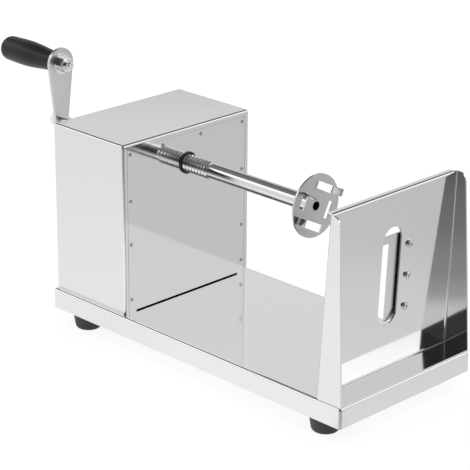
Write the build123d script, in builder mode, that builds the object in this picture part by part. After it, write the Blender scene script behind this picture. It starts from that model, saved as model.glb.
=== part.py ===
from build123d import *
import os
from math import cos, pi, radians, sin, sqrt, tan

# A hand cranked spiral potato cutter. Millimetres, +Z up, +X from the crank end to the
# blade end, +Y across. The origin is the middle of the whole object's box, on the table.

# ---------------------------------------------------------------- driving dimensions
# base pan
BASE_LEN = 367.0
BASE_WIDTH = 170.0
BASE_SKIRT = 19.0
BASE_SHEET = 1.5
BASE_BEND_R = 2.4
BASE_CORNER_R = 2.6

# rubber feet
FOOT_SHOW = 16.0
FOOT_SKIRT_R = 14.6
FOOT_SOLE_R = 12.0
FOOT_SOLE_ROUND = 4.0
FOOT_TOP_ROUND = 1.2
FOOT_INSET_X = 31.0
FOOT_INSET_Y = 16.5
FOOT_RECESS_R = 6.0
FOOT_RECESS_DEPTH = 20.0
FOOT_WASHER_R = 5.4
FOOT_WASHER_T = 1.0

# gear housing
HOUSING_LEN = 95.5
HOUSING_INSET = 5.0
HOUSING_HEIGHT = 163.0
HOUSING_SHEET = 1.2
HOUSING_BEND_R = 2.4
HOUSING_RETURN = 5.2
HOUSING_LEDGE = 14.0
HOUSING_FOOT_FLANGE = 16.0
HOUSING_SCREW_X = (58.0, 84.0)
PANEL_SEAM = 0.3
PANEL_BOTTOM_GAP = 1.2
PANEL_CORNER_FOOT = 9.0
RIVET_INSET = 9.0
RIVET_NEAR_Z = (12.5, 66.5, 108.5, 153.0)
RIVET_FAR_Z = (13.0, 49.5, 106.0, 153.0)
RIVET_TOP_Y = (-31.0, 17.0)
RIVET_R = 1.7
RIVET_PROUD = 0.25
RIVET_TAIL_R = 2.6
RIVET_TAIL = 0.8

# feed screw
AXIS_HEIGHT = 129.0
SCREW_PITCH = 4.0
SCREW_MEAN_R = 7.75
SCREW_WAVE = 0.5
SCREW_CLEAR = 0.68
THREAD_PAST_PANEL = 33.0
ROD_R = 7.4
ROD_PAST_PANEL = 160.0
ROD_OVERLAP = 2.0
NECK_R = 5.0
NECK_LEN = 26.0
SKEWER_BORE_R = 4.3
SKEWER_BORE_DEPTH = 40.0
SPIGOT_FLATS = 6.6
SPIGOT_PAST_NUT = 2.0

# feed nut and guide bush
NUT_FLANGE_R = 24.0
NUT_FLANGE_T = 5.0
NUT_BODY_R = 14.0
NUT_BODY_LEN = 15.0
NUT_CHAMFER = 1.0
NUT_SCREW_PCR = 19.0
NUT_SCREWS = 4
PANEL_HOLE_CLEAR = 1.5
STIFFENER_WIDTH = 70.0
STIFFENER_HEIGHT = 62.0
STIFFENER_T = 3.0
STIFFENER_CORNER_R = 4.0
BUSH_LIP_R = 10.5
BUSH_LIP_T = 1.0
BUSH_BARREL_R = 9.6
BUSH_LEN = 14.0
BUSH_RUNNING = 0.5
BUSH_NUT_AF = 26.0
BUSH_NUT_T = 5.0

# fork disc. Each window is given in the direction that its tongue lay in before it was
# folded up: that direction's angle, then how far the window reaches back from the disc's
# middle and forward of it, and the inner and outer distance of its long sides.
DISC_R = 29.0
DISC_SHEET = 1.5
FORK_ANGLE = -27.0
FORK_WINDOWS = (
    (180, 17.0, 7.0, 14.5, 21.5),
    (270, 8.3, 7.5, 14.0, 20.5),
    (0, 17.0, 17.0, 14.2, 21.3),
    (90, 7.6, 8.2, 15.0, 20.5),
)
# Each prong: its window, fold radius inside, straight length, lean back over the window.
FORK_PRONGS = (
    (0, 5.5, 9.0, 0.0),
    (1, 0.8, 11.5, 14.0),
    (2, 2.0, 5.0, 0.0),
)
PRONG_NARROWER = 0.3

# crank
ARM_SETBACK = 82.0
ARM_SHEET = 3.0
ARM_THROW = 58.0
ARM_HEAD_R = 15.0
ARM_HUB_R = 7.6
HUB_WASHER_R = 7.8
HUB_WASHER_BORE_R = 4.5
HUB_WASHER_T = 1.6
HUB_NUT_T = 6.5
GRIP_WASHER_R = 9.0
GRIP_WASHER_T = 1.0
GRIP_NUT_WASHER_R = 10.3
GRIP_NUT_WASHER_T = 1.8
GRIP_NUT_T = 8.0
GRIP_LEN = 80.0
GRIP_NECK_R = 9.6
GRIP_BELLY_R = 12.75
GRIP_BELLY_AT = 47.0
GRIP_END_R = 12.0
GRIP_END_ROUND = 9.6
GRIP_NECK_ROUND = 0.8
GRIP_RUNNING = 0.3
GRIP_BOLT_PAST_ARM = 14.5
GRIP_BOLT_HEAD_R = 6.5
GRIP_BOLT_HEAD_T = 5.0
GRIP_BOLT_DEPTH = 56.0
GRIP_BOLT_SOCKET_AF = 5.0
GRIP_BOLT_SOCKET_DEPTH = 2.5
BOLT_END_CHAMFER = 0.8

# blade upright
UPRIGHT_HEIGHT = 165.0
UPRIGHT_LEAN = 2.6
UPRIGHT_SHEET = 1.5
UPRIGHT_BEND_R = 3.0
UPRIGHT_BACK = 29.0
UPRIGHT_FRONT_INSET = 0.7
UPRIGHT_HALF = 84.0
UPRIGHT_TAPER = 3.5
UPRIGHT_TOP_DEPTH = 11.5
UPRIGHT_TOP_ROUND = 8.0
UPRIGHT_LIP = 4.5
UPRIGHT_LIP_BEND_R = 2.4
UPRIGHT_RELIEF = 0.4
SLOT_WIDTH = 24.0
SLOT_LEN = 91.0
SLOT_ABOVE_AXIS = 4.5

# slicing blade
BLADE_SHEET = 1.5
BLADE_GAP = 1.5
BLADE_EDGE_Y = -1.0
BLADE_FAR_Y = 33.0
BLADE_ARM_Y = -16.0
BLADE_ARM = 7.0
BLADE_BELOW_AXIS = 4.5
BLADE_LEN = 80.0
BLADE_BEVEL = 4.0
BLADE_EDGE_T = 0.3
BLADE_SCREW_Y = 22.5
BLADE_SCREW_PITCH = 29.0
BLADE_SCREW_DROP = 16.5
BLADE_SCREWS = 3
BLADE_SPACER_R = 4.0

# fasteners
M4_R = 2.0
M4_HEAD_R = 3.5
M4_HEAD_T = 2.4
M4_NUT_AF = 7.0
M4_NUT_T = 3.2
M4_PAST_NUT = 1.0
M5_R = 2.5
M5_HEAD_R = 4.75
M5_HEAD_T = 3.0
M5_NUT_AF = 8.0
M5_NUT_T = 4.0
M8_R = 4.0
M8_NUT_AF = 13.0
RECESS_LEN_SHARE = 1.1
RECESS_SLOT = 0.8
RECESS_DEPTH = 1.3
NUT_RIM_SHARE = 0.48
HEAD_ROUND_SHARE = 0.6
HOLE_CLEAR = 0.15
THREAD_FIT = 0.05
SEAT_CLEAR = 0.3

# ---------------------------------------------------------------- places
# the grip's bolt recess opens through its rounded end, which takes the very tip away
GRIP_BORE_R = M8_R + GRIP_RUNNING
GRIP_RECESS_R = GRIP_BOLT_HEAD_R + GRIP_RUNNING
GRIP_MOUTH = GRIP_RECESS_R - (GRIP_END_R - GRIP_END_ROUND)
GRIP_TIP_LOST = GRIP_END_ROUND - sqrt(GRIP_END_ROUND**2 - GRIP_MOUTH**2)
CRANK_REACH = ARM_SETBACK + ARM_SHEET + GRIP_WASHER_T + SEAT_CLEAR + GRIP_LEN - GRIP_TIP_LOST
TOTAL_LEN = BASE_LEN + CRANK_REACH
FRONT_X = TOTAL_LEN / 2
REAR_X = FRONT_X - BASE_LEN
BASE_MID_X = (REAR_X + FRONT_X) / 2
ARM_FRONT_X = REAR_X - ARM_SETBACK
ARM_BACK_X = ARM_FRONT_X - ARM_SHEET

SKIRT_Z = FOOT_SHOW
DECK_Z = FOOT_SHOW + BASE_SKIRT
PAN_ROOF_Z = DECK_Z - BASE_SHEET
AXIS_Z = DECK_Z + AXIS_HEIGHT
GRIP_Z = AXIS_Z + ARM_THROW

HOUSING_HALF = BASE_WIDTH / 2 - HOUSING_INSET
HOUSING_TOP_Z = DECK_Z + HOUSING_HEIGHT
PANEL_X = REAR_X + HOUSING_LEN
HOUSING_MID_X = (REAR_X + PANEL_X) / 2

SCREW_CREST_R = SCREW_MEAN_R + SCREW_WAVE
THREAD_START_X = ARM_FRONT_X + NECK_LEN
THREAD_END_X = PANEL_X + THREAD_PAST_PANEL
DISC_BACK_X = PANEL_X + ROD_PAST_PANEL
DISC_FRONT_X = DISC_BACK_X + DISC_SHEET

os.makedirs("parts", exist_ok=True)


# ---------------------------------------------------------------- helpers
def facing_x(x, y=0.0, z=AXIS_Z):
    """A plane that faces +X: its own x runs along +Y and its own y along +Z."""
    return Plane(origin=(x, y, z), x_dir=(0, 1, 0), z_dir=(1, 0, 0))


def facing_up(x, y, z):
    return Plane(origin=(x, y, z))


def side_on(x, y, z):
    """A plane for side views: its own x runs along +X and its own y along +Z."""
    return Plane(origin=(x, y, z), x_dir=(1, 0, 0), z_dir=(0, -1, 0))


def flipped(plane):
    """The same plane, facing the other way."""
    return Plane(origin=plane.origin, x_dir=plane.x_dir, z_dir=-plane.z_dir)


def on_plane(plane, u, v):
    """The same plane with its origin moved along its own x and y."""
    return Plane(origin=plane.from_local_coords((u, v, 0)), x_dir=plane.x_dir, z_dir=plane.z_dir)


def write(piece, name):
    """Label a finished piece and write it as one STEP file."""
    piece.part.label = name
    export_step(piece.part, f"parts/{name}.step")


def add_disc(plane, radius, thickness, mode=Mode.ADD):
    with BuildSketch(plane) as outline:
        Circle(radius)
    extrude(outline.sketch, amount=thickness, mode=mode)


def cut_disc(plane, radius, depth):
    add_disc(plane, radius, depth, mode=Mode.SUBTRACT)


def add_ring(plane, outer_r, inner_r, thickness):
    with BuildSketch(plane) as outline:
        Circle(outer_r)
        Circle(inner_r, mode=Mode.SUBTRACT)
    extrude(outline.sketch, amount=thickness)


def hex_nut(across_flats, bore_r, thickness):
    """A hex nut that stands on the origin, its upper corners cut back by a cone."""
    rim_r = across_flats * NUT_RIM_SHARE
    foot_r = rim_r + thickness * sqrt(3)
    with BuildPart() as nut:
        with BuildSketch():
            RegularPolygon(across_flats / sqrt(3), 6)
        extrude(amount=thickness)
        Cone(foot_r, rim_r, thickness, align=(Align.CENTER, Align.CENTER, Align.MIN), mode=Mode.INTERSECT)
        cut_disc(Plane.XY, bore_r, thickness)
    return nut.part


def pan_screw(shank_r, head_r, head_t, length):
    """A pan head screw: its shank hangs below the origin and its head stands above."""
    recess_len = head_r * RECESS_LEN_SHARE
    with BuildPart() as screw:
        add_disc(Plane.XY, head_r, head_t)
        crown = screw.faces().sort_by(Axis.Z)[-1]
        fillet(crown.edges(), head_t * HEAD_ROUND_SHARE)
        with BuildSketch(Plane.XY.offset(head_t)):
            Rectangle(recess_len, RECESS_SLOT)
            Rectangle(RECESS_SLOT, recess_len)
        extrude(amount=-RECESS_DEPTH, mode=Mode.SUBTRACT)
        add_disc(flipped(Plane.XY), shank_r, length)
    return screw.part


def group_of(piece, planes):
    """Copies of one piece, each standing on a plane."""
    with BuildPart() as group:
        with Locations(*planes):
            add(piece)
    return group


def add_thread(start_x, length, radius, mode=Mode.ADD):
    """A circle carried along a fine helix round the screw axis: one rounded thread."""
    with BuildLine() as wave:
        Helix(SCREW_PITCH, length, SCREW_WAVE, center=(start_x, 0, AXIS_Z), direction=(1, 0, 0))
    start = wave.line @ 0
    with BuildSketch(facing_x(start.X, start.Y, start.Z)) as outline:
        Circle(radius)
    sweep(outline.sketch, path=wave.line, normal=(1, 0, 0), mode=mode)


def double_d(radius, flats):
    """A round with two flats, in the sketch that is open."""
    Circle(radius)
    Rectangle(2 * radius, flats, mode=Mode.INTERSECT)


# ---------------------------------------------------------------- base
FOOT_LEFT_RIGHT = BASE_WIDTH / 2 - FOOT_INSET_Y
foot_places = {
    "foot_rear_near": (REAR_X + FOOT_INSET_X, -FOOT_LEFT_RIGHT),
    "foot_rear_far": (REAR_X + FOOT_INSET_X, FOOT_LEFT_RIGHT),
    "foot_front_near": (FRONT_X - FOOT_INSET_X, -FOOT_LEFT_RIGHT),
    "foot_front_far": (FRONT_X - FOOT_INSET_X, FOOT_LEFT_RIGHT),
}
FOOT_FLANGE_MID_Y = HOUSING_HALF - (HOUSING_SHEET + HOUSING_FOOT_FLANGE) / 2
housing_screw_places = [
    (x, y)
    for x in (REAR_X + from_rear for from_rear in HOUSING_SCREW_X)
    for y in (-FOOT_FLANGE_MID_Y, FOOT_FLANGE_MID_Y)
]

with BuildPart() as base_pan:
    with BuildSketch(facing_up(BASE_MID_X, 0, SKIRT_Z)):
        RectangleRounded(BASE_LEN, BASE_WIDTH, BASE_CORNER_R)
    extrude(amount=BASE_SKIRT)
    fillet(base_pan.faces().sort_by(Axis.Z)[-1].edges(), BASE_BEND_R)
    offset(amount=-BASE_SHEET, openings=base_pan.faces().sort_by(Axis.Z)[0])
    for x, y in housing_screw_places:
        cut_disc(facing_up(x, y, PAN_ROOF_Z), M4_R + HOLE_CLEAR, BASE_SHEET)
write(base_pan, "base_pan")

FOOT_NUT_POCKET_R = M5_NUT_AF / sqrt(3) + SEAT_CLEAR
FOOT_NUT_SEAT_Z = PAN_ROOF_Z - M5_NUT_T
FOOT_WASHER_Z = FOOT_RECESS_DEPTH - FOOT_WASHER_T
for name, (x, y) in foot_places.items():
    with BuildPart() as foot:
        with BuildSketch(side_on(x, y, 0)) as section:
            with BuildLine():
                Polyline(
                    (FOOT_RECESS_R, 0),
                    (FOOT_SOLE_R, 0),
                    (FOOT_SKIRT_R, FOOT_SHOW),
                    (FOOT_SKIRT_R, PAN_ROOF_Z),
                    (FOOT_NUT_POCKET_R, PAN_ROOF_Z),
                    (FOOT_NUT_POCKET_R, FOOT_NUT_SEAT_Z),
                    (M5_R + HOLE_CLEAR, FOOT_NUT_SEAT_Z),
                    (M5_R + HOLE_CLEAR, FOOT_RECESS_DEPTH),
                    (FOOT_RECESS_R, FOOT_RECESS_DEPTH),
                    close=True,
                )
            make_face()
            fillet(section.vertices().sort_by_distance((FOOT_SOLE_R, 0))[0], FOOT_SOLE_ROUND)
            shoulder = (FOOT_SKIRT_R, PAN_ROOF_Z)
            fillet(section.vertices().sort_by_distance(shoulder)[0], FOOT_TOP_ROUND)
        revolve(axis=Axis((x, y, 0), (0, 0, 1)))
    write(foot, name)

with BuildPart() as foot_washers:
    for x, y in foot_places.values():
        add_ring(facing_up(x, y, FOOT_WASHER_Z), FOOT_WASHER_R, M5_R + HOLE_CLEAR, FOOT_WASHER_T)
write(foot_washers, "foot_washers")

foot_screw = pan_screw(M5_R, M5_HEAD_R, M5_HEAD_T, PAN_ROOF_Z - SEAT_CLEAR - FOOT_WASHER_Z)
foot_screw_seats = [flipped(facing_up(x, y, FOOT_WASHER_Z)) for x, y in foot_places.values()]
foot_screws = group_of(foot_screw, foot_screw_seats)
write(foot_screws, "foot_screws")

foot_nut = hex_nut(M5_NUT_AF, M5_R + THREAD_FIT, M5_NUT_T)
foot_nut_seats = [flipped(facing_up(x, y, PAN_ROOF_Z)) for x, y in foot_places.values()]
foot_nuts = group_of(foot_nut, foot_nut_seats)
write(foot_nuts, "foot_nuts")

# ---------------------------------------------------------------- housing
# The casing is one folded sheet. Its end returns step in by one sheet to make ledges, and
# the end panels lie on the ledges, flush with the returns.
WINDOW_HALF = HOUSING_HALF - HOUSING_RETURN
WINDOW_TOP_Z = HOUSING_TOP_Z - HOUSING_RETURN
LEDGE_HALF = HOUSING_HALF - HOUSING_LEDGE
LEDGE_TOP_Z = HOUSING_TOP_Z - HOUSING_LEDGE
PANEL_HALF = WINDOW_HALF - PANEL_SEAM
PANEL_TOP_Z = WINDOW_TOP_Z - PANEL_SEAM
RIVET_Y = HOUSING_HALF - RIVET_INSET
rivet_places = [(-RIVET_Y, z) for z in RIVET_NEAR_Z]
rivet_places += [(RIVET_Y, z) for z in RIVET_FAR_Z]
rivet_places += [(y, RIVET_NEAR_Z[-1]) for y in RIVET_TOP_Y]


def tall_rectangle(half_width, low_z, high_z, mode=Mode.ADD):
    """A rectangle between two heights, on a plane that faces +X at the screw axis."""
    with Locations((0, (low_z + high_z) / 2 - AXIS_Z)):
        Rectangle(2 * half_width, high_z - low_z, mode=mode)


def cut_rivet_holes(plane_x):
    for y, z in rivet_places:
        cut_disc(facing_x(plane_x, y, DECK_Z + z), RIVET_R + THREAD_FIT, HOUSING_SHEET)


def add_end_panel(plane_x, hole_r):
    """An end panel: two short corner feet, a gap under its bottom edge, and its holes."""
    with BuildSketch(facing_x(plane_x)) as outline:
        tall_rectangle(PANEL_HALF, DECK_Z, PANEL_TOP_Z)
        tall_rectangle(PANEL_HALF - PANEL_CORNER_FOOT, DECK_Z, DECK_Z + PANEL_BOTTOM_GAP, Mode.SUBTRACT)
        Circle(hole_r, mode=Mode.SUBTRACT)
    extrude(outline.sketch, amount=HOUSING_SHEET)
    cut_rivet_holes(plane_x)


def add_rivets(outer_faces):
    """Rivets through a panel and its ledge, just proud outside, with a wider tail inside."""
    grip = 2 * HOUSING_SHEET
    for face in outer_faces:
        add_disc(face.offset(RIVET_PROUD), RIVET_R, -(RIVET_PROUD + grip))
        add_disc(face.offset(-grip), RIVET_TAIL_R, -RIVET_TAIL)


with BuildPart() as housing_casing:
    with BuildSketch(facing_up(HOUSING_MID_X, 0, DECK_Z)):
        Rectangle(HOUSING_LEN, 2 * HOUSING_HALF)
    extrude(amount=HOUSING_HEIGHT)
    underside = housing_casing.faces().sort_by(Axis.Z)[0]
    fillet(housing_casing.edges() - underside.edges(), HOUSING_BEND_R)
    offset(amount=-HOUSING_SHEET, openings=housing_casing.faces().sort_by(Axis.Z)[0])
    with BuildSketch(facing_x(REAR_X)):
        tall_rectangle(WINDOW_HALF, DECK_Z, WINDOW_TOP_Z)
    extrude(amount=HOUSING_LEN, mode=Mode.SUBTRACT)
    for ledge_x in (REAR_X + HOUSING_SHEET, PANEL_X - 2 * HOUSING_SHEET):
        with BuildSketch(facing_x(ledge_x)):
            tall_rectangle(HOUSING_HALF - HOUSING_SHEET, DECK_Z, HOUSING_TOP_Z - HOUSING_SHEET)
            tall_rectangle(LEDGE_HALF, DECK_Z, LEDGE_TOP_Z, Mode.SUBTRACT)
        extrude(amount=HOUSING_SHEET)
        cut_rivet_holes(ledge_x)
    with BuildSketch(facing_up(HOUSING_MID_X, 0, DECK_Z)):
        with Locations((0, -FOOT_FLANGE_MID_Y), (0, FOOT_FLANGE_MID_Y)):
            Rectangle(HOUSING_LEN - 4 * HOUSING_SHEET, HOUSING_FOOT_FLANGE - HOUSING_SHEET)
    extrude(amount=HOUSING_SHEET)
    for x, y in housing_screw_places:
        cut_disc(facing_up(x, y, DECK_Z), M4_R + HOLE_CLEAR, HOUSING_SHEET)
write(housing_casing, "housing_casing")

with BuildPart() as housing_front_panel:
    add_end_panel(PANEL_X - HOUSING_SHEET, BUSH_BARREL_R + HOLE_CLEAR)
write(housing_front_panel, "housing_front_panel")

FEED_HOLE_R = SCREW_CREST_R + PANEL_HOLE_CLEAR
nut_screw_places = [
    (NUT_SCREW_PCR * cos(angle), AXIS_Z + NUT_SCREW_PCR * sin(angle))
    for angle in (2 * pi * (n + 0.5) / NUT_SCREWS for n in range(NUT_SCREWS))
]


def cut_nut_screw_holes(plane_x, depth):
    for y, z in nut_screw_places:
        cut_disc(facing_x(plane_x, y, z), M4_R + HOLE_CLEAR, depth)


with BuildPart() as housing_rear_panel:
    add_end_panel(REAR_X, FEED_HOLE_R)
    cut_nut_screw_holes(REAR_X, HOUSING_SHEET)
write(housing_rear_panel, "housing_rear_panel")

with BuildPart() as front_panel_rivets:
    add_rivets([facing_x(PANEL_X, y, DECK_Z + z) for y, z in rivet_places])
write(front_panel_rivets, "front_panel_rivets")

with BuildPart() as rear_panel_rivets:
    add_rivets([flipped(facing_x(REAR_X, y, DECK_Z + z)) for y, z in rivet_places])
write(rear_panel_rivets, "rear_panel_rivets")

HOUSING_SCREW_LEN = BASE_SHEET + HOUSING_SHEET + M4_NUT_T + M4_PAST_NUT
housing_screw = pan_screw(M4_R, M4_HEAD_R, M4_HEAD_T, HOUSING_SCREW_LEN)
housing_screw_seats = [flipped(facing_up(x, y, PAN_ROOF_Z)) for x, y in housing_screw_places]
housing_screws = group_of(housing_screw, housing_screw_seats)
write(housing_screws, "housing_screws")

m4_nut = hex_nut(M4_NUT_AF, M4_R + THREAD_FIT, M4_NUT_T)
housing_nut_seats = [facing_up(x, y, DECK_Z + HOUSING_SHEET) for x, y in housing_screw_places]
housing_nuts = group_of(m4_nut, housing_nut_seats)
write(housing_nuts, "housing_nuts")

# ---------------------------------------------------------------- feed nut and guide bush
STIFFENER_X = REAR_X + HOUSING_SHEET
STIFFENER_TOP_Z = LEDGE_TOP_Z - SEAT_CLEAR
NUT_X = STIFFENER_X + STIFFENER_T
NUT_BODY_X = NUT_X + NUT_FLANGE_T
NUT_END_X = NUT_BODY_X + NUT_BODY_LEN

with BuildPart() as rear_stiffener:
    with BuildSketch(facing_x(STIFFENER_X)):
        with Locations((0, STIFFENER_TOP_Z - STIFFENER_HEIGHT / 2 - AXIS_Z)):
            RectangleRounded(STIFFENER_WIDTH, STIFFENER_HEIGHT, STIFFENER_CORNER_R)
        Circle(FEED_HOLE_R, mode=Mode.SUBTRACT)
    extrude(amount=STIFFENER_T)
    cut_nut_screw_holes(STIFFENER_X, STIFFENER_T)
write(rear_stiffener, "rear_stiffener")

# The nut's thread starts a whole number of pitches along the screw's, so they are in phase.
pitches_before_nut = (NUT_X - THREAD_START_X) // SCREW_PITCH - 1
NUT_THREAD_X = THREAD_START_X + pitches_before_nut * SCREW_PITCH
NUT_THREAD_LEN = NUT_END_X + SCREW_PITCH - NUT_THREAD_X

with BuildPart() as feed_nut:
    add_disc(facing_x(NUT_X), NUT_FLANGE_R, NUT_FLANGE_T)
    add_disc(facing_x(NUT_BODY_X), NUT_BODY_R, NUT_BODY_LEN)
    chamfer(feed_nut.faces().sort_by(Axis.X)[-1].edges(), NUT_CHAMFER)
    add_thread(NUT_THREAD_X, NUT_THREAD_LEN, SCREW_MEAN_R + SCREW_CLEAR, mode=Mode.SUBTRACT)
    cut_nut_screw_holes(NUT_X, NUT_FLANGE_T)
write(feed_nut, "feed_nut")

NUT_SCREW_LEN = HOUSING_SHEET + STIFFENER_T + NUT_FLANGE_T + M4_NUT_T + M4_PAST_NUT
nut_screw = pan_screw(M4_R, M4_HEAD_R, M4_HEAD_T, NUT_SCREW_LEN)
nut_screw_seats = [flipped(facing_x(REAR_X, y, z)) for y, z in nut_screw_places]
feed_nut_screws = group_of(nut_screw, nut_screw_seats)
write(feed_nut_screws, "feed_nut_screws")

feed_nut_hex_nuts = group_of(m4_nut, [facing_x(NUT_BODY_X, y, z) for y, z in nut_screw_places])
write(feed_nut_hex_nuts, "feed_nut_hex_nuts")

BUSH_INNER_X = PANEL_X + BUSH_LIP_T - BUSH_LEN
with BuildPart() as guide_bush:
    add_disc(facing_x(BUSH_INNER_X), BUSH_BARREL_R, BUSH_LEN)
    add_disc(facing_x(PANEL_X), BUSH_LIP_R, BUSH_LIP_T)
    cut_disc(facing_x(BUSH_INNER_X), SCREW_CREST_R + BUSH_RUNNING, BUSH_LEN)
write(guide_bush, "guide_bush")

lock_nut = hex_nut(BUSH_NUT_AF, BUSH_BARREL_R + THREAD_FIT, BUSH_NUT_T)
bush_lock_nut = group_of(lock_nut, [flipped(facing_x(PANEL_X - HOUSING_SHEET))])
write(bush_lock_nut, "bush_lock_nut")

# ---------------------------------------------------------------- feed screw and fork
SPIGOT_LEN = ARM_SHEET + HUB_WASHER_T + HUB_NUT_T + SPIGOT_PAST_NUT

with BuildPart() as feed_screw:
    with BuildSketch(flipped(facing_x(ARM_FRONT_X))):
        double_d(M8_R, SPIGOT_FLATS)
    extrude(amount=ARM_SHEET)
    add_disc(flipped(facing_x(ARM_BACK_X)), M8_R, SPIGOT_LEN - ARM_SHEET)
    chamfer(feed_screw.faces().sort_by(Axis.X)[0].edges(), BOLT_END_CHAMFER)
    add_disc(facing_x(ARM_FRONT_X), NECK_R, NECK_LEN + ROD_OVERLAP)
    add_thread(THREAD_START_X, THREAD_END_X - THREAD_START_X, SCREW_MEAN_R)
    add_disc(facing_x(THREAD_END_X - ROD_OVERLAP), ROD_R, DISC_BACK_X - THREAD_END_X + ROD_OVERLAP)
    cut_disc(flipped(facing_x(DISC_BACK_X)), SKEWER_BORE_R, SKEWER_BORE_DEPTH)
write(feed_screw, "feed_screw")


def disc_direction(angle):
    """A direction in the disc, its angle counted from the fork's own tilt."""
    turned = radians(FORK_ANGLE + angle)
    return (0, cos(turned), sin(turned))


def add_prong(window, bend_r, length, lean):
    """A tongue folded up out of its window. On its plane x runs along the screw axis and
    y along the way that the tongue lay; it is rooted at the window's back end."""
    angle, back, _, inner, outer = window
    middle = (inner + outer) / 2
    width = outer - inner - PRONG_NARROWER
    front = Plane(origin=(DISC_FRONT_X, 0, AXIS_Z), x_dir=(1, 0, 0), z_dir=disc_direction(angle + 90))
    with BuildSketch(front.offset(-middle - width / 2)) as tongue:
        with BuildLine():
            fold = CenterArc((bend_r, -back), bend_r + DISC_SHEET / 2, 180, lean - 90)
            PolarLine(fold @ 1, length, direction=fold % 1)
        trace(line_width=DISC_SHEET)
    extrude(tongue.sketch, amount=width)


with BuildPart() as fork_disc:
    disc_plane = Plane(origin=(DISC_BACK_X, 0, AXIS_Z), x_dir=disc_direction(0), z_dir=(1, 0, 0))
    with BuildSketch(disc_plane):
        Circle(DISC_R)
        Circle(SKEWER_BORE_R, mode=Mode.SUBTRACT)
        for angle, back, forward, inner, outer in FORK_WINDOWS:
            with Locations(Location((0, 0, 0), (0, 0, angle))):
                with Locations(((forward - back) / 2, -(inner + outer) / 2)):
                    Rectangle(back + forward, outer - inner, mode=Mode.SUBTRACT)
    extrude(amount=DISC_SHEET)
    for window, bend_r, length, lean in FORK_PRONGS:
        add_prong(FORK_WINDOWS[window], bend_r, length, lean)
write(fork_disc, "fork_disc")

# ---------------------------------------------------------------- crank
with BuildPart() as crank_arm:
    with BuildSketch(facing_x(ARM_BACK_X)):
        Circle(ARM_HUB_R)
        with Locations((0, ARM_THROW)):
            Circle(ARM_HEAD_R)
        make_hull()
        with Locations((0, ARM_THROW)):
            Circle(M8_R + HOLE_CLEAR, mode=Mode.SUBTRACT)
    extrude(amount=ARM_SHEET)
    with BuildSketch(facing_x(ARM_BACK_X)):
        double_d(M8_R + HOLE_CLEAR, SPIGOT_FLATS + 2 * HOLE_CLEAR)
    extrude(amount=ARM_SHEET, mode=Mode.SUBTRACT)
write(crank_arm, "crank_arm")

with BuildPart() as hub_washer:
    add_ring(flipped(facing_x(ARM_BACK_X)), HUB_WASHER_R, HUB_WASHER_BORE_R, HUB_WASHER_T)
write(hub_washer, "hub_washer")

hub_nut_blank = hex_nut(M8_NUT_AF, M8_R + THREAD_FIT, HUB_NUT_T)
hub_nut = group_of(hub_nut_blank, [flipped(facing_x(ARM_BACK_X - HUB_WASHER_T))])
write(hub_nut, "hub_nut")

BOLT_SEAT_X = ARM_BACK_X - GRIP_BOLT_DEPTH
with BuildPart() as grip_bolt:
    bolt_len = GRIP_BOLT_DEPTH + ARM_SHEET + GRIP_BOLT_PAST_ARM
    add_disc(facing_x(BOLT_SEAT_X, 0, GRIP_Z), M8_R, bolt_len)
    chamfer(grip_bolt.faces().sort_by(Axis.X)[-1].edges(), BOLT_END_CHAMFER)
    add_disc(flipped(facing_x(BOLT_SEAT_X, 0, GRIP_Z)), GRIP_BOLT_HEAD_R, GRIP_BOLT_HEAD_T)
    with BuildSketch(facing_x(BOLT_SEAT_X - GRIP_BOLT_HEAD_T, 0, GRIP_Z)):
        RegularPolygon(GRIP_BOLT_SOCKET_AF / sqrt(3), 6)
    extrude(amount=GRIP_BOLT_SOCKET_DEPTH, mode=Mode.SUBTRACT)
write(grip_bolt, "grip_bolt")

with BuildPart() as grip_thrust_washer:
    add_ring(flipped(facing_x(ARM_BACK_X, 0, GRIP_Z)), GRIP_WASHER_R, M8_R + HOLE_CLEAR, GRIP_WASHER_T)
write(grip_thrust_washer, "grip_thrust_washer")

with BuildPart() as grip_nut_washer:
    nut_side = facing_x(ARM_FRONT_X, 0, GRIP_Z)
    add_ring(nut_side, GRIP_NUT_WASHER_R, M8_R + HOLE_CLEAR, GRIP_NUT_WASHER_T)
write(grip_nut_washer, "grip_nut_washer")

grip_nut_blank = hex_nut(M8_NUT_AF, M8_R + THREAD_FIT, GRIP_NUT_T)
grip_nut = group_of(grip_nut_blank, [facing_x(ARM_FRONT_X + GRIP_NUT_WASHER_T, 0, GRIP_Z)])
write(grip_nut, "grip_nut")

# The grip's half section: x runs back from the arm, y is the radius.
GRIP_START_X = ARM_BACK_X - GRIP_WASHER_T - SEAT_CLEAR
GRIP_SHOULDER = GRIP_START_X - BOLT_SEAT_X - GRIP_RUNNING
with BuildPart() as grip:
    half_section = Plane(origin=(GRIP_START_X, 0, GRIP_Z), x_dir=(-1, 0, 0), z_dir=(0, 1, 0))
    with BuildSketch(half_section) as section:
        with BuildLine():
            Spline(
                (0, GRIP_NECK_R),
                (GRIP_BELLY_AT, GRIP_BELLY_R),
                tangents=[(1, 0), (1, 0)],
            )
            Spline(
                (GRIP_BELLY_AT, GRIP_BELLY_R),
                (GRIP_LEN, GRIP_END_R),
                tangents=[(1, 0), (1, 0)],
            )
            Polyline(
                (GRIP_LEN, GRIP_END_R),
                (GRIP_LEN, 0),
                (0, 0),
                (0, GRIP_NECK_R),
            )
        make_face()
    revolve(axis=Axis((GRIP_START_X, 0, GRIP_Z), (1, 0, 0)))
    fillet(grip.faces().sort_by(Axis.X)[0].edges(), GRIP_END_ROUND)
    fillet(grip.faces().sort_by(Axis.X)[-1].edges(), GRIP_NECK_ROUND)
    cut_disc(flipped(facing_x(GRIP_START_X, 0, GRIP_Z)), GRIP_BORE_R, GRIP_LEN)
    recess_plane = flipped(facing_x(GRIP_START_X - GRIP_SHOULDER, 0, GRIP_Z))
    cut_disc(recess_plane, GRIP_RECESS_R, GRIP_LEN - GRIP_SHOULDER)
write(grip, "grip")

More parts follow.
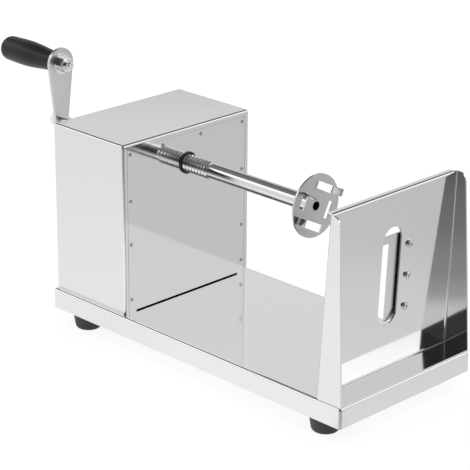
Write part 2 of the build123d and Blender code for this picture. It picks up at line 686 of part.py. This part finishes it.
# ---------------------------------------------------------------- blade upright
LEAN = radians(UPRIGHT_LEAN)
UPRIGHT_BACK_X = FRONT_X - UPRIGHT_BACK
UPRIGHT_TOP_Z = DECK_Z + UPRIGHT_HEIGHT
UPRIGHT_TOP_SHIFT = UPRIGHT_HEIGHT * tan(LEAN)
UPRIGHT_TOP_HALF = UPRIGHT_HALF - UPRIGHT_TAPER
plate_back = Plane(origin=(UPRIGHT_BACK_X, 0, DECK_Z), x_dir=(0, 1, 0), z_dir=(cos(LEAN), 0, -sin(LEAN)))


def up_plate(height):
    """How far along the leaning plate a height above the deck lies."""
    return height / cos(LEAN)


blade_screw_places = [
    (BLADE_SCREW_Y, up_plate(AXIS_HEIGHT - BLADE_SCREW_DROP - n * BLADE_SCREW_PITCH))
    for n in range(BLADE_SCREWS)
]

with BuildPart() as blade_upright:
    with BuildSketch(side_on(UPRIGHT_BACK_X, 0, DECK_Z)) as cheek:
        with BuildLine():
            Polyline(
                (0, 0),
                (UPRIGHT_BACK - UPRIGHT_FRONT_INSET, 0),
                (UPRIGHT_TOP_SHIFT + UPRIGHT_TOP_DEPTH, UPRIGHT_HEIGHT),
                (UPRIGHT_TOP_SHIFT, UPRIGHT_HEIGHT),
                close=True,
            )
        make_face()
        top_corner = cheek.vertices().group_by(Axis.Y)[-1].sort_by(Axis.X)[-1]
        fillet(top_corner, UPRIGHT_TOP_ROUND)
    extrude(amount=UPRIGHT_HALF, both=True)
    with BuildSketch(facing_x(UPRIGHT_BACK_X, 0, DECK_Z)):
        with BuildLine():
            Polyline(
                (-UPRIGHT_HALF, 0),
                (UPRIGHT_HALF, 0),
                (UPRIGHT_TOP_HALF, UPRIGHT_HEIGHT),
                (-UPRIGHT_TOP_HALF, UPRIGHT_HEIGHT),
                close=True,
            )
        make_face()
    extrude(amount=UPRIGHT_BACK, mode=Mode.INTERSECT)
    back_edges = blade_upright.faces().sort_by(Axis.X)[0].edges().sort_by(Axis.Z)
    fillet(back_edges[:-1], UPRIGHT_BEND_R)
    open_faces = [
        blade_upright.faces().sort_by(Axis.Z)[-1],
        blade_upright.faces().sort_by(Axis.X)[-1],
        blade_upright.faces().filter_by(GeomType.CYLINDER).sort_by(Axis.X)[-1],
    ]
    offset(amount=-UPRIGHT_SHEET, openings=open_faces)
    with BuildSketch(plate_back):
        with Locations((0, up_plate(AXIS_HEIGHT + SLOT_ABOVE_AXIS) - SLOT_LEN / 2)):
            SlotOverall(SLOT_LEN, SLOT_WIDTH, rotation=90)
        with Locations(*blade_screw_places):
            Circle(M4_R + HOLE_CLEAR)
    extrude(amount=UPRIGHT_SHEET, mode=Mode.SUBTRACT)
    # the top lip, folded back along its whole width with a relief cut at each end
    lip_side = Plane(
        origin=(UPRIGHT_BACK_X + UPRIGHT_TOP_SHIFT, 0, UPRIGHT_TOP_Z),
        x_dir=(cos(LEAN), 0, -sin(LEAN)),
        z_dir=(0, -1, 0),
    )
    LIP_HALF = UPRIGHT_TOP_HALF - UPRIGHT_BEND_R
    LIP_FOLD_R = UPRIGHT_LIP_BEND_R - UPRIGHT_SHEET / 2
    with BuildSketch(lip_side):
        with Locations((UPRIGHT_SHEET / 2, 0)):
            Rectangle(2 * UPRIGHT_SHEET, 2 * UPRIGHT_LIP_BEND_R)
    extrude(amount=LIP_HALF, both=True, mode=Mode.SUBTRACT)
    with BuildSketch(lip_side):
        with BuildLine():
            fold_start = (UPRIGHT_SHEET / 2 - LIP_FOLD_R, -UPRIGHT_SHEET / 2)
            Line((-UPRIGHT_LIP, -UPRIGHT_SHEET / 2), fold_start)
            CenterArc((fold_start[0], -UPRIGHT_LIP_BEND_R), LIP_FOLD_R, 90, -90)
        trace(line_width=UPRIGHT_SHEET)
    extrude(amount=LIP_HALF - UPRIGHT_RELIEF, both=True)
write(blade_upright, "blade_upright")

# ---------------------------------------------------------------- slicing blade
BLADE_TOP = AXIS_HEIGHT - BLADE_BELOW_AXIS
BLADE_LOW = BLADE_TOP - BLADE_LEN
blade_front = plate_back.offset(-BLADE_GAP)

with BuildPart() as slicing_blade:
    with BuildSketch(blade_front):
        with BuildLine():
            Polyline(
                (BLADE_EDGE_Y, up_plate(BLADE_LOW)),
                (BLADE_FAR_Y, up_plate(BLADE_LOW)),
                (BLADE_FAR_Y, up_plate(BLADE_TOP)),
                (BLADE_ARM_Y, up_plate(BLADE_TOP)),
                (BLADE_ARM_Y, up_plate(BLADE_TOP - BLADE_ARM)),
                (BLADE_EDGE_Y, up_plate(BLADE_TOP - BLADE_ARM)),
                close=True,
            )
        make_face()
        with Locations(*blade_screw_places):
            Circle(M4_R + HOLE_CLEAR, mode=Mode.SUBTRACT)
    extrude(amount=-BLADE_SHEET)
    # the bevel that sharpens the upright edge, ground on the potato's side
    blade_foot = on_plane(blade_front, 0, up_plate(BLADE_LOW)).origin
    along_edge = Plane(origin=blade_foot, x_dir=(0, 1, 0), z_dir=blade_front.y_dir)
    with BuildSketch(along_edge):
        with BuildLine():
            Polyline(
                (BLADE_EDGE_Y, BLADE_EDGE_T),
                (BLADE_EDGE_Y + BLADE_BEVEL, BLADE_SHEET),
                (BLADE_EDGE_Y, BLADE_SHEET),
                close=True,
            )
        make_face()
    extrude(amount=up_plate(BLADE_LEN - BLADE_ARM), mode=Mode.SUBTRACT)
write(slicing_blade, "slicing_blade")

with BuildPart() as blade_spacers:
    for y, up in blade_screw_places:
        add_ring(on_plane(blade_front, y, up), BLADE_SPACER_R, M4_R + HOLE_CLEAR, BLADE_GAP)
write(blade_spacers, "blade_spacers")

BLADE_SCREW_LEN = UPRIGHT_SHEET + BLADE_GAP + BLADE_SHEET + M4_NUT_T + M4_PAST_NUT
blade_screw = pan_screw(M4_R, M4_HEAD_R, M4_HEAD_T, BLADE_SCREW_LEN)
plate_front = plate_back.offset(UPRIGHT_SHEET)
blade_screws = group_of(blade_screw, [on_plane(plate_front, y, up) for y, up in blade_screw_places])
write(blade_screws, "blade_screws")

blade_back = blade_front.offset(-BLADE_SHEET)
blade_nut_seats = [flipped(on_plane(blade_back, y, up)) for y, up in blade_screw_places]
blade_nuts = group_of(m4_nut, blade_nut_seats)
write(blade_nuts, "blade_nuts")
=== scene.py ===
from math import cos, radians, sin

import bpy
from mathutils import Matrix, Vector

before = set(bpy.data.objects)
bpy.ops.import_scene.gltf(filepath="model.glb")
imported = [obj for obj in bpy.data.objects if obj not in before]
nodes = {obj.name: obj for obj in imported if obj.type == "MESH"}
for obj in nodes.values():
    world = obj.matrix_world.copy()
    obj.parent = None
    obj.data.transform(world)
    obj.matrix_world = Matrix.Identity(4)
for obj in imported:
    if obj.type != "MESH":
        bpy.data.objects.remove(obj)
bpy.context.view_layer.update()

# ------------------------------------------------------------------ the view
# Metres and degrees. The camera looks at the near side of the cutter from the blade end.
PHOTO_SIDE = 470
FOCAL_PX = 1992.3
SENSOR_MM = 36.0
CAMERA_AT = (1.2544, -1.2010, 0.7579)
CAMERA_YAW = 134.916
CAMERA_PITCH = 20.921
CAMERA_ROLL = -0.409


def add_camera():
    """A camera turned by its yaw, pitch and roll, with the photo's focal length."""
    yaw = radians(CAMERA_YAW)
    pitch = radians(CAMERA_PITCH)
    roll = radians(CAMERA_ROLL)
    ahead = Vector((cos(yaw) * cos(pitch), sin(yaw) * cos(pitch), -sin(pitch)))
    right = Vector((sin(yaw), -cos(yaw), 0))
    down = ahead.cross(right)
    rolled_right = right * cos(roll) + down * sin(roll)
    rolled_down = down * cos(roll) - right * sin(roll)
    data = bpy.data.cameras.new("camera")
    data.sensor_width = SENSOR_MM
    data.lens = FOCAL_PX / PHOTO_SIDE * SENSOR_MM
    camera = bpy.data.objects.new("camera", data)
    bpy.context.scene.collection.objects.link(camera)
    turn = Matrix((rolled_right, -rolled_down, -ahead)).transposed().to_4x4()
    camera.matrix_world = Matrix.Translation(CAMERA_AT) @ turn
    bpy.context.scene.camera = camera


# ------------------------------------------------------------------ node helpers
class Shading:
    """A material's or world's nodes, with short ways to add and join them."""

    def __init__(self, owner):
        owner.use_nodes = True
        self.tree = owner.node_tree
        self.tree.nodes.clear()

    def add(self, kind, **settings):
        node = self.tree.nodes.new(kind)
        for name, value in settings.items():
            setattr(node, name, value)
        return node

    def join(self, source, target):
        self.tree.links.new(source, target)

    def put(self, value, socket):
        """A number, a colour or another node's output goes into a socket."""
        if isinstance(value, (int, float, tuple)):
            socket.default_value = value
        else:
            self.join(value, socket)

    def math(self, operation, *values, clamp=False):
        node = self.add("ShaderNodeMath", operation=operation, use_clamp=clamp)
        for socket, value in zip(node.inputs, values):
            self.put(value, socket)
        return node.outputs[0]

    def ramp(self, value, low, high, stops):
        """Levels at values between low and high, eased from one to the next."""
        spread = self.add("ShaderNodeMapRange")
        self.put(value, spread.inputs["Value"])
        spread.inputs["From Min"].default_value = low
        spread.inputs["From Max"].default_value = high
        node = self.add("ShaderNodeValToRGB")
        node.color_ramp.interpolation = "EASE"
        marks = node.color_ramp.elements
        marks.remove(marks[-1])
        marks[0].position = (stops[0][0] - low) / (high - low)
        for at, _ in stops[1:]:
            marks.new((at - low) / (high - low))
        for mark, (_, level) in zip(marks, stops):
            mark.color = (level, level, level, 1)
        self.join(spread.outputs[0], node.inputs[0])
        return node.outputs[0]

    def between(self, share, first, second):
        """first where share is 0, second where it is 1, as plain numbers."""
        rest = self.math("SUBTRACT", 1.0, share)
        return self.math("ADD", self.math("MULTIPLY", rest, first),
                         self.math("MULTIPLY", share, second))

    def shown_rays(self):
        """1 for rays that show the backdrop: the camera's, and those in metal and glass."""
        path = self.add("ShaderNodeLightPath")
        shown = self.math("ADD", path.outputs["Is Camera Ray"], path.outputs["Is Glossy Ray"])
        return self.math("ADD", shown, path.outputs["Is Transmission Ray"], clamp=True)

    def shown_or_plain(self, plain, shown):
        """The shown shader for rays that show the backdrop, the plain one for the others."""
        mix = self.add("ShaderNodeMixShader")
        self.join(self.shown_rays(), mix.inputs[0])
        self.join(plain.outputs[0], mix.inputs[1])
        self.join(shown.outputs[0], mix.inputs[2])
        return mix

    def send(self, shader, kind="ShaderNodeOutputMaterial"):
        """The shader goes to the output."""
        self.join(shader.outputs[0], self.add(kind).inputs[0])


# ------------------------------------------------------------------ studio
# A white tent on a white floor. The tent shows to the camera's rays and in metal: a band
# half way up is brighter than white, and it is dark overhead and on the side that the
# photo was taken from. In metal alone the floor greys towards that side: this grey is
# painted shade on the floor. toward counts towards that side, along from the crank's far
# side past the blade. Each table holds (place, level), and its levels were set by the greys
# of the photo's reflections.
DIAGONAL = 0.70711
ROOM_LEVEL = 1.0
TENT_WALL = ((0.0, 0.85), (0.33, 0.87), (0.44, 0.90), (0.50, 1.65), (0.61, 1.60),
             (0.72, 0.20), (1.0, 0.16))
TENT_LEAN = 0.2
TENT_SIDES = ((-1.0, 0.47), (-0.80, 0.50), (-0.50, 1.0), (0.45, 1.0), (0.75, 0.05),
              (1.0, 0.03))

# The floor's tables below give its painted shade, as metal sees it.
FLOOR_REACH = 1.2
FLOOR_NEAR = ((-1.2, 0.80), (-0.70, 0.88), (-0.30, 0.95), (-0.15, 0.98), (0.10, 0.98),
              (0.16, 0.80), (0.36, 0.72), (0.55, 0.62), (1.2, 0.55))
FLOOR_FAR = ((-0.80, 0.85), (0.05, 0.95), (0.14, 0.62), (1.2, 0.58))
FLOOR_FRONT = ((0.0, 1.0), (0.235, 1.0), (0.275, 0.55), (0.32, 0.42), (0.45, 0.27),
               (0.62, 0.15), (1.2, 0.10))
FLOOR_LEFT = ((0.0, 1.0), (0.27, 1.0), (0.40, 0.75), (0.55, 0.45), (0.80, 0.30),
              (1.2, 0.20))

# Where the floor goes over from its near table to its far one, and from left to front.
SWAP_REACH = 1.0
NEAR_SHARE = ((-0.5, 1.0), (0.06, 1.0), (0.12, 0.0), (1.0, 0.0))
FRONT_SHARE = ((-0.5, 0.0), (0.04, 0.0), (0.13, 1.0), (1.0, 1.0))

FLOOR_SIZE = 12.0
FLOOR_LIT = 0.88
FLOOR_SHADED = 0.16
FLOOR_PALE = 0.8


def make_world():
    world = bpy.data.worlds.new("tent")
    bpy.context.scene.world = world
    s = Shading(world)
    place = s.add("ShaderNodeTexCoord")
    split = s.add("ShaderNodeSeparateXYZ")
    s.join(place.outputs["Generated"], split.inputs[0])
    x, y, z = split.outputs
    toward = s.math("MULTIPLY", s.math("SUBTRACT", x, y), DIAGONAL)
    away = s.math("MINIMUM", toward, 0.0)
    height = s.math("SUBTRACT", z, s.math("MULTIPLY", away, TENT_LEAN))
    wall = s.ramp(height, 0.0, 1.0, TENT_WALL)
    side = s.ramp(toward, -1.0, 1.0, TENT_SIDES)
    tent = s.add("ShaderNodeBackground")
    s.join(s.math("MULTIPLY", wall, side), tent.inputs["Color"])
    plain = s.add("ShaderNodeBackground")
    plain.inputs["Color"].default_value = (1, 1, 1, 1)
    plain.inputs["Strength"].default_value = ROOM_LEVEL
    s.send(s.shown_or_plain(plain, tent), "ShaderNodeOutputWorld")


def floor_level(s):
    """The floor's painted shade as metal sees it: a level from its place in the room."""
    place = s.add("ShaderNodeNewGeometry")
    split = s.add("ShaderNodeSeparateXYZ")
    s.join(place.outputs["Position"], split.inputs[0])
    x, y, _ = split.outputs
    toward = s.math("MULTIPLY", s.math("SUBTRACT", x, y), DIAGONAL)
    along = s.math("MULTIPLY", s.math("ADD", x, y), DIAGONAL)
    near = s.ramp(along, -FLOOR_REACH, FLOOR_REACH, FLOOR_NEAR)
    far = s.ramp(along, -FLOOR_REACH, FLOOR_REACH, FLOOR_FAR)
    left = s.ramp(toward, 0.0, FLOOR_REACH, FLOOR_LEFT)
    front = s.ramp(toward, 0.0, FLOOR_REACH, FLOOR_FRONT)
    near_share = s.ramp(toward, -SWAP_REACH, SWAP_REACH, NEAR_SHARE)
    front_share = s.ramp(along, -SWAP_REACH, SWAP_REACH, FRONT_SHARE)
    return s.math("MULTIPLY", s.between(near_share, near, far),
                  s.between(front_share, left, front))


def add_floor():
    """White to the camera, with a faint shadow, and with painted shade in metal."""
    material = bpy.data.materials.new("floor")
    s = Shading(material)
    path = s.add("ShaderNodeLightPath")
    # Glossy rays see the floor darkened by painted shade; the camera's rays see it at level
    # 1.
    level = s.between(path.outputs["Is Glossy Ray"], 1.0, floor_level(s))
    lit = s.add("ShaderNodeEmission")
    s.join(s.math("MULTIPLY", level, FLOOR_LIT), lit.inputs["Color"])
    shaded = s.add("ShaderNodeBsdfDiffuse")
    s.join(s.math("MULTIPLY", level, FLOOR_SHADED), shaded.inputs["Color"])
    both = s.add("ShaderNodeAddShader")
    s.join(lit.outputs[0], both.inputs[0])
    s.join(shaded.outputs[0], both.inputs[1])
    plain = s.add("ShaderNodeBsdfDiffuse")
    plain.inputs["Color"].default_value = (FLOOR_PALE, FLOOR_PALE, FLOOR_PALE, 1)
    s.send(s.shown_or_plain(plain, both))
    bpy.ops.mesh.primitive_plane_add(size=FLOOR_SIZE)
    floor = bpy.context.object
    floor.name = "floor"
    floor.data.materials.append(material)


add_camera()
make_world()
add_floor()


# ------------------------------------------------------------------ materials
POLISH_DETAIL = 4.0


def metal(name, level, roughness, uneven=0.0, grain=60.0, warm=0.0):
    """Plain metal whose polish varies a little from place to place."""
    material = bpy.data.materials.new(name)
    s = Shading(material)
    shader = s.add("ShaderNodeBsdfPrincipled")
    colour = (level, level * (1 - warm / 3), level * (1 - warm), 1)
    shader.inputs["Base Color"].default_value = colour
    shader.inputs["Metallic"].default_value = 1.0
    polish = roughness
    if uneven:
        place = s.add("ShaderNodeTexCoord")
        noise = s.add("ShaderNodeTexNoise")
        s.join(place.outputs["Object"], noise.inputs["Vector"])
        noise.inputs["Scale"].default_value = grain
        noise.inputs["Detail"].default_value = POLISH_DETAIL
        polish = s.math("MULTIPLY_ADD", noise.outputs[0], uneven, roughness - uneven / 2)
    s.put(polish, shader.inputs["Roughness"])
    s.send(shader)
    return material


def dull(name, grey, roughness, specular=0.5):
    """Dark plastic or rubber."""
    material = bpy.data.materials.new(name)
    s = Shading(material)
    shader = s.add("ShaderNodeBsdfPrincipled")
    shader.inputs["Base Color"].default_value = (grey, grey, grey, 1)
    shader.inputs["Roughness"].default_value = roughness
    shader.inputs["Specular IOR Level"].default_value = specular
    s.send(shader)
    return material


def paint(material, *names):
    for name in names:
        node = nodes[name]
        node.data.materials.clear()
        node.data.materials.append(material)


paint(metal("base_sheet", 0.84, 0.09, 0.05), "base_pan")
paint(metal("housing_sheet", 0.82, 0.09, 0.05), "housing_casing")
paint(metal("panel_sheet", 0.82, 0.07, 0.04), "housing_front_panel", "housing_rear_panel")
paint(metal("upright_sheet", 0.80, 0.08, 0.04), "blade_upright")
paint(metal("rod_steel", 0.80, 0.15, 0.05), "feed_screw")
paint(metal("disc_steel", 0.66, 0.22, 0.08), "fork_disc")
paint(metal("arm_steel", 0.70, 0.30), "crank_arm")
paint(metal("blade_steel", 0.76, 0.25, 0.05), "slicing_blade")
paint(metal("plain_steel", 0.60, 0.30), "rear_stiffener", "blade_spacers")
paint(metal("bright_zinc", 0.84, 0.18, 0.06, 200.0),
      "blade_screws", "blade_nuts", "grip_nut", "grip_nut_washer", "grip_bolt",
      "grip_thrust_washer", "hub_nut", "hub_washer", "feed_nut_screws", "feed_nut_hex_nuts",
      "housing_screws", "housing_nuts", "foot_screws", "foot_nuts", "foot_washers",
      "bush_lock_nut")
paint(metal("rivet_metal", 0.42, 0.35), "front_panel_rivets", "rear_panel_rivets")
paint(metal("nut_brass", 0.72, 0.30, 0.1, 80.0, 0.45), "feed_nut")
paint(dull("black_nylon", 0.02, 0.4), "guide_bush")
paint(dull("black_rubber", 0.035, 0.55),
      "foot_rear_near", "foot_rear_far", "foot_front_near", "foot_front_far")
paint(dull("grip_plastic", 0.012, 0.34, 0.3), "grip")

bpy.context.scene.view_settings.view_transform = "Standard"
